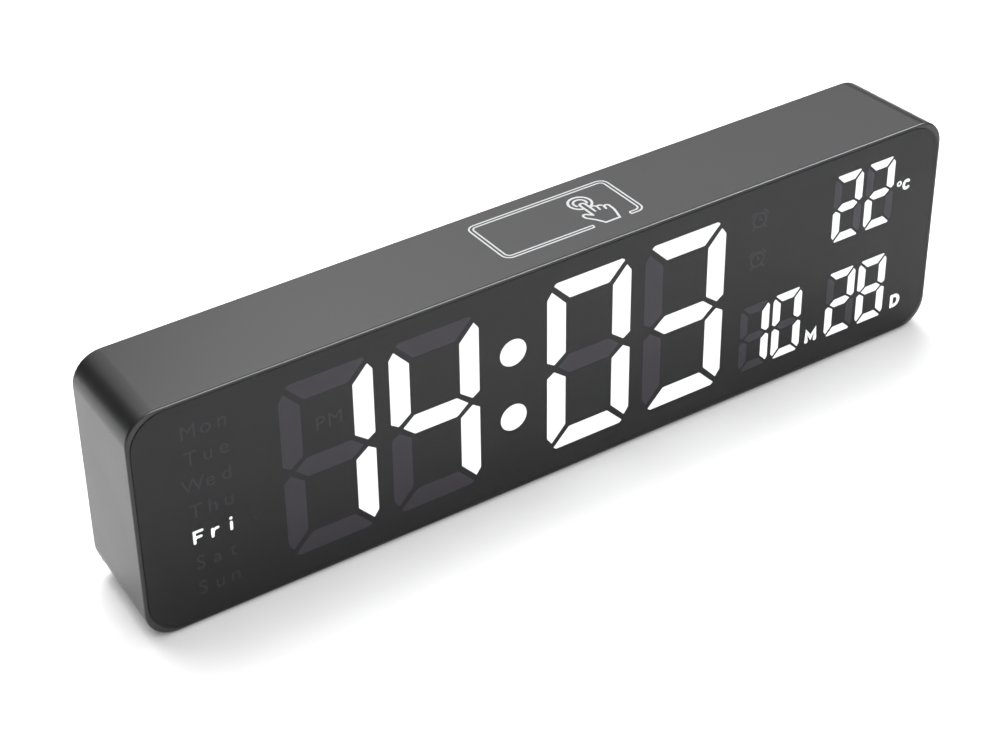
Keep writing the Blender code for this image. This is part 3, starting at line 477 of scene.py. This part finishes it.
def ribbon(shape, line, width, place, thickness, closed=False):
    """Adds a flat printed line of one width to a bmesh, with round ends unless it is closed."""
    points = [Vector(point) for point in line]
    count = len(points)
    rails = []
    for i, point in enumerate(points):
        ahead = points[(i + 1) % count] - point if closed or i < count - 1 else point - points[i - 1]
        behind = point - points[i - 1] if closed or i > 0 else ahead
        ahead, behind = ahead.normalized(), behind.normalized()
        middle = (ahead + behind).normalized()
        across = Vector((-middle.y, middle.x)) * (width / 2 / max(0.6, middle.dot(ahead)))
        rails.append((point + across, point - across))
    low, high = [
        [[shape.verts.new(place(p.x, p.y, lift)) for p in pair] for pair in rails]
        for lift in (0, thickness)
    ]
    for i in range(count if closed else count - 1):
        j = (i + 1) % count
        shape.faces.new((high[i][0], high[j][0], high[j][1], high[i][1]))
        shape.faces.new((low[i][1], low[j][1], low[j][0], low[i][0]))
        for side in (0, 1):
            shape.faces.new((low[i][side], low[j][side], high[j][side], high[i][side]))
    if closed:
        return
    turn = arc((0, 0), 1, 45, 135, 2)
    for end, neighbour in ((0, 1), (-1, -2)):
        outward = (points[end] - points[neighbour]).normalized() * width / 2
        side = Vector((-outward.y, outward.x))
        arc_points = [points[end] + side * c + outward * s for c, s in turn]
        if (rails[end][0] - points[end]).dot(side) < 0:
            arc_points.reverse()
        caps = [[shape.verts.new(place(p.x, p.y, lift)) for p in arc_points] for lift in (0, thickness)]
        rims = [[level[end][0], *cap, level[end][1]] for level, cap in zip((low, high), caps)]
        for rim in rims:
            shape.faces.new(rim)
        for i in range(len(rims[0]) - 1):
            shape.faces.new((rims[0][i], rims[0][i + 1], rims[1][i + 1], rims[1][i]))


def finished(name, shape, body, paint):
    """A piece from a bmesh whose points are already in millimetres in the CAD frame."""
    bmesh.ops.recalc_face_normals(shape, faces=shape.faces)
    bmesh.ops.scale(shape, vec=(MM, MM, MM), verts=shape.verts)
    mesh = bpy.data.meshes.new(name)
    shape.to_mesh(mesh)
    shape.free()
    return link(name, mesh, body, paint)


def ellipse_arc(centre, reach, start, end, steps):
    """Points on an ellipse, angles in degrees."""
    angles = [math.radians(start + (end - start) * i / steps) for i in range(steps + 1)]
    return [(centre[0] + reach[0] * math.cos(a), centre[1] + reach[1] * math.sin(a)) for a in angles]


def arc(centre, radius, start, end, steps):
    """Points on a circle, angles in degrees."""
    return ellipse_arc(centre, (radius, radius), start, end, steps)


def ring(centre, radius):
    """A circle as a closed line, without repeating its first point."""
    return arc(centre, radius, 0, 345, 23)


def shifted(outline, across, up):
    """An outline moved by a distance across and up."""
    return [(across + a, up + b) for a, b in outline]


def rounded_loop(low, high, radius, steps=5):
    """A closed rectangle with round corners, counter-clockwise from its lower right corner."""
    (x0, y0), (x1, y1) = low, high
    corners = ((x1, y0, -90), (x1, y1, 0), (x0, y1, 90), (x0, y0, 180))
    loop = []
    for x, y, start in corners:
        centre = (x - radius if x == x1 else x + radius, y - radius if y == y1 else y + radius)
        loop += arc(centre, radius, start, start + 90, steps)
    return loop


# ---------------------------------------------------------------- display


def digit_outlines(left, base, size):
    """The seven bars of one digit, in the order of BAR_ORDER, with slanting gaps between them."""
    width, height, stroke = size
    middle = height / 2
    top = [
        (0.36 * stroke, height - 0.12 * stroke),
        (0.5 * stroke, height),
        (width - 0.5 * stroke, height),
        (width - 0.36 * stroke, height - 0.12 * stroke),
        (width - 1.21 * stroke, height - stroke),
        (1.21 * stroke, height - stroke),
    ]
    upper_right = [
        (width - stroke, height - 1.22 * stroke),
        (width - stroke, middle + 0.67 * stroke),
        (width - 0.375 * stroke, middle + 0.19 * stroke),
        (width, middle + 0.44 * stroke),
        (width, height - 0.75 * stroke),
        (width - 0.25 * stroke, height - 0.4 * stroke),
    ]
    centre_bar = [
        (0.6 * stroke, middle),
        (1.18 * stroke, middle - 0.5 * stroke),
        (width - 1.18 * stroke, middle - 0.5 * stroke),
        (width - 0.6 * stroke, middle),
        (width - 1.18 * stroke, middle + 0.5 * stroke),
        (1.18 * stroke, middle + 0.5 * stroke),
    ]
    upper_left = [(width - x, h) for x, h in upper_right]
    lower = [[(x, height - h) for x, h in bar] for bar in (top, upper_right, upper_left)]
    bars = [top, upper_right, upper_left, centre_bar, *lower]
    return [[(left + x, base + h) for x, h in bar] for bar in bars]


def on_mask(x, h, lift):
    """A point just in front of the dark sheet, lift millimetres nearer to the viewer."""
    return Vector((x, LENS_LOW.y + BAR_PLACE - lift, MID_Z + h))


def lens_outline(grow):
    """The outline of the lens seen from the front, as (x, h), grown by a margin."""
    low = (LENS_LOW.x - grow, LENS_LOW.z - MID_Z - grow)
    high = (LENS_HIGH.x + grow, LENS_HIGH.z - MID_Z + grow)
    return rounded_loop(low, high, LENS_CORNER + grow, 16)


def in_lens(x, h, y):
    """A point y deep in the CAD frame, seen from the front at (x, h)."""
    return Vector((x, y, MID_Z + h))


def make_lens():
    """The lens: a smoked sheet with a polished round edge, and the dark sheet that it is bonded to."""
    shape = bmesh.new()
    back = LENS_LOW.y + LENS_SHEET
    plate(shape, lens_outline(LENS_SEAT), in_lens, LENS_LOW.y, back)
    front_edges = [e for e in shape.edges if all(v.co.y < LENS_LOW.y + HAIR for v in e.verts)]
    bmesh.ops.bevel(shape, geom=front_edges, offset=LENS_ROUND, segments=4, profile=0.5, affect="EDGES")
    sheet = finished("lens_sheet", shape, "case", "lens")
    smooth(sheet.data, 50.0)
    sheet.data.materials.append(PAINTS["lens_back"])
    for face in sheet.data.polygons:
        if face.center.y > (back - HAIR) * MM:
            face.material_index = 1
    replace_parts(keep_normals(sheet), "front_lens")
    shape = bmesh.new()
    plate(shape, lens_outline(0.0), in_lens, LENS_LOW.y + MASK_FRONT, LENS_HIGH.y)
    mask = finished("lens_mask", shape, "case", "film")
    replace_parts(mask, "front_lens")


def make_bars():
    """The bars of every digit and the two dots of the colon, lit or not."""
    lit_shape, unlit_shape = bmesh.new(), bmesh.new()
    groups = (
        (TIME, BIG_LEFTS, DIGIT_BASE, BIG_DIGIT),
        (DATE, DATE_LEFTS, DIGIT_BASE, SMALL_DIGIT),
        (TEMPERATURE, TEMPERATURE_LEFTS, TEMPERATURE_BASE, SMALL_DIGIT),
    )
    for numerals, lefts, base, size in groups:
        for numeral, left in zip(numerals, lefts):
            for letter, outline in zip(BAR_ORDER, digit_outlines(left, base, size)):
                shape = lit_shape if letter in LIT_BARS[numeral] else unlit_shape
                plate(shape, outline, on_mask, 0, BAR_THICK)
    for side in (1, -1):
        dot = arc((COLON_X, side * COLON_H), COLON_RADIUS, 0, 352.5, 47)
        plate(lit_shape, dot, on_mask, 0, BAR_THICK)
    finished("lit_bars", lit_shape, "case", "lit")
    finished("unlit_bars", unlit_shape, "case", "ghost")


def glyph(letter):
    """The outline mesh of one letter, standing on its base line."""
    curve = bpy.data.curves.new("glyph_" + letter, "FONT")
    curve.body = letter
    curve.extrude = 0.01
    curve.resolution_u = 4
    obj = bpy.data.objects.new(curve.name, curve)
    bpy.context.scene.collection.objects.link(obj)
    mesh = bpy.data.meshes.new_from_object(obj.evaluated_get(bpy.context.evaluated_depsgraph_get()))
    bpy.data.objects.remove(obj)
    return mesh


CAPITAL = max(v.co.y for v in glyph("F").vertices)


def letters(shape, text, centres, base, cap):
    """Adds letters to a bmesh, each centred on its own place along x."""
    for letter, centre in zip(text, centres):
        mesh = glyph(letter)
        size = cap / CAPITAL
        low = min(v.co.x for v in mesh.vertices)
        high = max(v.co.x for v in mesh.vertices)
        start = len(shape.verts)
        shape.from_mesh(mesh)
        shape.verts.ensure_lookup_table()
        for vertex in shape.verts[start:]:
            x = centre + (vertex.co.x - (low + high) / 2) * size
            lift = BAR_THICK if vertex.co.z > 0 else 0.0
            vertex.co = on_mask(x, base + vertex.co.y * size, lift)


def stroke(shape, line, width, closed=False):
    """Adds a line of the display, as thick as the bars."""
    ribbon(shape, line, width, on_mask, BAR_THICK, closed)


def draw_units(shape):
    """The degree ring and the letters C, M and D beside the small numerals, drawn as bold strokes."""
    ring_width, c_width, m_width, d_width = 0.6, 1.15, 1.55, 1.35
    stroke(shape, ring((138.2, 20.3), 0.8), ring_width, True)
    stroke(shape, ellipse_arc((141.6, 19.05), (1.3, 1.55), 50, 310, 18), c_width)
    m_left, m_middle, m_right, m_foot, m_top, m_dip = 101.2, 103.1, 105.0, -31.2, -27.1, -30.0
    letter_m = [(m_left, m_foot), (m_left, m_top), (m_middle, m_dip), (m_right, m_top), (m_right, m_foot)]
    stroke(shape, letter_m, m_width)
    d_left, d_bend, d_foot, d_top = 139.9, 141.2, -31.0, -26.9
    letter_d = [(d_left, d_foot), (d_bend, d_foot)]
    letter_d += ellipse_arc((d_bend, (d_foot + d_top) / 2), (1.8, (d_top - d_foot) / 2), -75, 75, 10)
    letter_d += [(d_bend, d_top), (d_left, d_top)]
    stroke(shape, letter_d, d_width, True)


def draw_friday(shape, base):
    """The lit weekday, as bold strokes standing on a base line."""
    width, foot, head = 1.0, 0.5, 4.6
    f_middle, r_middle, i_middle = WEEKDAY_COLUMNS
    spine = f_middle - 1.3
    stroke(shape, shifted([(0, foot), (0, head), (2.7, head)], spine, base), width)
    stroke(shape, shifted([(0, 2.5), (2.2, 2.5)], spine, base), width)
    stem = r_middle - 1.0
    stroke(shape, shifted([(0, foot), (0, 3.3)], stem, base), width)
    stroke(shape, shifted([(0, 1.7), (0.5, 2.8), (1.2, 3.2), (1.9, 3.2)], stem, base), width)
    stroke(shape, shifted([(0, foot), (0, 3.1)], i_middle, base), width)
    dot_width, dot_length = 1.1, 0.1
    stroke(shape, shifted([(0, head), (0, head + dot_length)], i_middle, base), dot_width)


def make_letters():
    """The weekdays, the units, PM and the two alarm pictures, lit or not."""
    lit_shape, unlit_shape = bmesh.new(), bmesh.new()
    for row, day in enumerate(WEEKDAYS):
        base = WEEKDAY_BASE + row * WEEKDAY_PITCH
        if day == TODAY:
            draw_friday(lit_shape, base)
        else:
            letters(unlit_shape, day, WEEKDAY_COLUMNS, base, WEEKDAY_CAP)
    letters(unlit_shape, "PM", PM_COLUMNS, PM_BASE, PM_CAP)
    draw_units(lit_shape)
    for x, h in ICONS:
        draw_alarm(unlit_shape, x, h)
    finished("lit_letters", lit_shape, "case", "lit")
    finished("unlit_letters", unlit_shape, "case", "faint")


def draw_alarm(shape, x, h):
    """A small picture of an alarm clock: ring, hands, two bells and two feet."""
    bold, thin, face, bell = 0.8, 0.6, 2.7, 3.9
    stroke(shape, ring((x, h), face), bold, True)
    stroke(shape, [(x, h + 1.5), (x, h), (x + 1.1, h)], thin)
    for side in (-1, 1):
        stroke(shape, arc((x, h), bell, 90 - side * 28, 90 - side * 62, 5), bold)
        stroke(shape, [(x + side * 2.2, h - 2.6), (x + side * 2.9, h - 3.4)], bold)


# ---------------------------------------------------------------- printed marks


def on_top(x, s, lift):
    """A point on the sloping top, s behind its front edge, raised a little."""
    return Vector((x, CASE_FRONT + s, TOP_EDGE - TOP_FALL * s + lift))


def on_back(across, h, lift):
    """A point on the rear cover. across runs rightwards for someone who looks at the back."""
    return Vector((-across, COVER_BACK + lift, MID_Z + h))


def make_touch_print():
    """Two fine lines round the touch area, and a hand whose finger presses a ring."""
    shape = bmesh.new()
    outer = rounded_loop((-17.35, 9.45), (36.3, 33.3), 2.9)
    inner = rounded_loop((-16.0, 10.75), (34.95, 32.0), 1.7)
    front_outer, front_inner = outer[0][1], inner[0][1]
    # The two lines turn into each other on both sides of a gap in their front run
    gap_left, gap_right, turn_s, frame_width = 16.4, 30.7, 10.2, 0.6
    frame_line = (
        [(gap_right + 0.35, front_inner), (gap_right - 0.05, turn_s), (gap_right + 0.1, front_outer)]
        + outer
        + [(gap_left - 0.35, front_outer), (gap_left, turn_s), (gap_left - 0.05, front_inner)]
        + list(reversed(inner))
    )
    ribbon(shape, frame_line, frame_width, on_top, INK, True)

    ring_middle, bold, thin, knuckle = (21.2, 24.75), 0.8, 0.7, 0.95
    finger = [(22.3, 17.7), (22.3, 23.2)] + arc((21.3, 23.3), 1.0, 0, 180, 8) + [(20.3, 23.2), (20.3, 15.9)]
    thumb = [(20.2, 16.0), (18.9, 17.4)] + arc((18.1, 16.9), knuckle, 45, 190, 6)
    palm = [(17.35, 15.6), (19.4, 12.9), (20.95, 9.85), (26.4, 9.85)]
    palm += [(27.4, 13.0), (28.0, 15.5), (28.05, 17.6)]
    last_finger = arc((27.15, 18.0), knuckle, 10, 150, 6) + [(26.1, 17.0)]
    strokes = (
        (arc(ring_middle, 2.25, -30, 212, 24), bold),
        (arc(ring_middle, 3.95, -68, 250, 40), 0.85),
        (finger, bold),
        (thumb + palm + last_finger, bold),
        (arc((25.2, 19.2), knuckle, 10, 150, 6) + [(24.15, 17.7)], thin),
        (arc((23.3, 19.9), knuckle, 0, 150, 6), thin),
    )
    for level, (line, width) in enumerate(strokes, start=1):
        ribbon(shape, line, width, on_top, INK + level * INK_STEP)
    finished("touch_print", shape, "case", "ink")


def middle_x(node):
    """The middle of a CAD node along X, in millimetres."""
    low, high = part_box(node)
    return (low.x + high.x) / 2 / MM


def make_rear_prints():
    """Small pictures over the buttons and the socket, and an arrow on the battery door."""
    shape = bmesh.new()
    mode, confirm, up, down = [-middle_x(key + "_button") for key in BUTTONS]
    face, face_width, hand_width, tick_width = 1.7, 0.45, 0.4, 0.55
    ribbon(shape, ring((mode, ICON_H), face), face_width, on_back, INK, True)
    hands = shifted([(0.0, 1.0), (0.0, 0.0), (0.8, 0.0)], mode, ICON_H)
    ribbon(shape, hands, hand_width, on_back, INK)
    tick = shifted([(-1.6, 0.1), (-0.5, -1.2), (1.7, 1.5)], confirm, ICON_H)
    ribbon(shape, tick, tick_width, on_back, INK)
    arrow = [(-1.6, -1.2), (1.6, -1.2), (0.0, 1.6)]
    plate(shape, shifted(arrow, up, ICON_H), on_back, 0, INK)
    plate(shape, shifted([(a, -b) for a, b in arrow], down, ICON_H), on_back, 0, INK)
    bolt = [(0.5, 1.9), (-1.2, -0.2), (-0.1, -0.2), (-0.5, -1.9), (1.2, 0.2), (0.1, 0.2)]
    plate(shape, shifted(bolt, -middle_x("usb_socket"), BOLT_H), on_back, 0, INK)
    finished("rear_print", shape, "case", "ink")
    shape = bmesh.new()
    plate(shape, shifted(arrow, -middle_x("battery_door"), DOOR_ARROW_H), on_back, 0, INK)
    finished("door_print", shape, "door", "ink")


make_lens()
make_bars()
make_letters()
make_touch_print()
make_rear_prints()


# ---------------------------------------------------------------- CAD pieces

# CAD node: its paint, how far its edges are broken, and the angle in degrees over which an edge
# stays sharp
FINE = {
    "housing": ("case", 0.12, 50.0),
    "rear_cover": ("case", 0.18, 40.0),
    "battery_door": ("case", 0.2, 40.0),
    "light_box": ("white", 0.06, 40.0),
    "display_board": ("board", 0.05, 40.0),
    "control_board": ("board", 0.05, 40.0),
    "controller_chip": ("resin", 0.06, 40.0),
    "clock_crystal": ("nickel", 0.0, 40.0),
    "supply_capacitor": ("resin", 0.0, 50.0),
    "buzzer": ("resin", 0.15, 40.0),
    "usb_socket": ("nickel", 0.05, 40.0),
    "temperature_sensor": ("resin", 0.0, 60.0),
    "ribbon_cable": ("ribbon", 0.05, 40.0),
    "display_header": ("white", 0.1, 40.0),
    "control_header": ("white", 0.1, 40.0),
    "lens_tape": ("tape", 0.0, 40.0),
    "segment_film": ("film", 0.0, 40.0),
    "battery_contact_link_left": ("nickel", 0.08, 40.0),
    "battery_contact_link_right": ("nickel", 0.08, 40.0),
    "battery_contact_negative": ("nickel", 0.08, 40.0),
    "battery_contact_positive": ("nickel", 0.08, 40.0),
    "battery_lead_negative": ("black", 0.0, 60.0),
    "battery_lead_positive": ("red", 0.0, 60.0),
    "touch_lead": ("black", 0.0, 60.0),
    "touch_plate": ("copper", 0.05, 40.0),
}
for key in BUTTONS:
    FINE[key + "_button"] = ("rubber", 0.12, 40.0)
    FINE[key + "_switch"] = ("resin", 0.1, 40.0)
    FINE[key + "_switch_plunger"] = ("white", 0.15, 40.0)
for number in range(1, 7):
    FINE[f"cover_screw_{number}"] = ("steel", 0.08, 40.0)
for number in range(1, 5):
    FINE[f"board_screw_{number}"] = ("steel", 0.08, 40.0)
for number in range(1, 4):
    FINE[f"battery_spring_{number}"] = ("nickel", 0.0, 60.0)
for place in ("front_left", "front_right", "rear_left", "rear_right"):
    FINE["foot_" + place] = ("foot", 0.0, 40.0)

for node, (paint, bevel, angle) in FINE.items():
    fine_copy(node, paint, bevel, angle)

for number in range(1, 4):
    node = f"battery_{number}"
    low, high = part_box(node)
    sleeve = cell_sleeve(node + "_sleeve", low.x / MM, high.x / MM, number != 2)
    fine_copy(node, sleeve, 0.12, 40.0)


# ---------------------------------------------------------------- stage, light and camera

# The camera's place, and its turns and lens in degrees and millimetres
CAMERA_PLACE = Vector((-367.59, -544.19, 499.22)) * MM
CAMERA_HEADING = -33.04
CAMERA_PITCH = -35.49
CAMERA_ROLL = -0.705
CAMERA_LENS = 87.8
SENSOR = 36.0
CLOCK_MIDDLE = Vector((0, 0, 45)) * MM
FLOOR_HALF = 6000
AMBIENT = (0.12, 0.12, 0.122, 1.0)


def make_floor():
    """A flat white sheet, far wider than the view."""
    shape = bmesh.new()
    bmesh.ops.create_grid(shape, x_segments=8, y_segments=8, size=FLOOR_HALF * MM)
    mesh = bpy.data.meshes.new("floor")
    shape.to_mesh(mesh)
    shape.free()
    mesh.materials.append(floor_paint())
    sheet = bpy.data.objects.new("floor", mesh)
    bpy.context.scene.collection.objects.link(sheet)
    sheet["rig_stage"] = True
    return sheet


def softbox(name, towards, distance, size, radiance, only=None):
    """A rectangular light, its size in metres, shining at the clock from a direction.

    Where only is given, the light falls on those objects and on nothing else.
    """
    light = bpy.data.lights.new(name, "AREA")
    light.shape = "RECTANGLE"
    light.size, light.size_y = size
    light.energy = radiance * math.pi * size[0] * size[1]
    obj = bpy.data.objects.new(name, light)
    bpy.context.scene.collection.objects.link(obj)
    direction = Vector(towards).normalized()
    obj.location = CLOCK_MIDDLE + direction * distance
    obj.rotation_euler = direction.to_track_quat("Z", "Y").to_euler()
    obj.visible_camera = False
    if only:
        lit_things = bpy.data.collections.new(name + "_receivers")
        for thing in only:
            lit_things.objects.link(thing)
        obj.light_linking.receiver_collection = lit_things


def make_world():
    """Dim grey surroundings."""
    world = bpy.data.worlds.new("studio")
    bpy.context.scene.world = world
    world.use_nodes = True
    background = world.node_tree.nodes["Background"]
    background.inputs["Color"].default_value = AMBIENT
    background.inputs["Strength"].default_value = 1.0
    bpy.context.scene.view_settings.view_transform = "Standard"


def make_camera():
    """A camera above the clock's left front, rolled a little."""
    data = bpy.data.cameras.new("camera")
    data.lens = CAMERA_LENS
    data.sensor_width = SENSOR
    data.clip_start, data.clip_end = 0.01, 50
    camera = bpy.data.objects.new("camera", data)
    bpy.context.scene.collection.objects.link(camera)
    turn = (
        Matrix.Rotation(math.radians(CAMERA_HEADING), 4, "Z")
        @ Matrix.Rotation(math.radians(90 + CAMERA_PITCH), 4, "X")
        @ Matrix.Rotation(math.radians(CAMERA_ROLL), 4, "Z")
    )
    camera.matrix_world = Matrix.Translation(CAMERA_PLACE) @ turn
    bpy.context.scene.camera = camera


clock_pieces = [obj for obj in bpy.data.objects if obj.type == "MESH"]
floor = make_floor()
make_world()
softbox("overhead", (-0.05, 0.5, 0.86), distance=1.6, size=(1.6, 1.2), radiance=3.6)
softbox("back_right", (0.5, 0.66, 0.55), distance=1.5, size=(1.0, 0.6), radiance=1.85)
# A long, narrow lamp that draws the bright line along the front's upper edge
softbox("edge_strip", (0.46, -0.54, 0.7), distance=1.25, size=(1.5, 0.16), radiance=66.0, only=clock_pieces)
# Lamps that whiten the floor, which the lens reflects
softbox("floor_top", (0.15, 0.3, 0.94), distance=1.0, size=(0.9, 0.9), radiance=4.9, only=[floor])
softbox("floor_front", (-0.15, -0.6, 0.8), distance=1.6, size=(1.4, 1.0), radiance=3.5, only=[floor])
make_camera()

low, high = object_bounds()
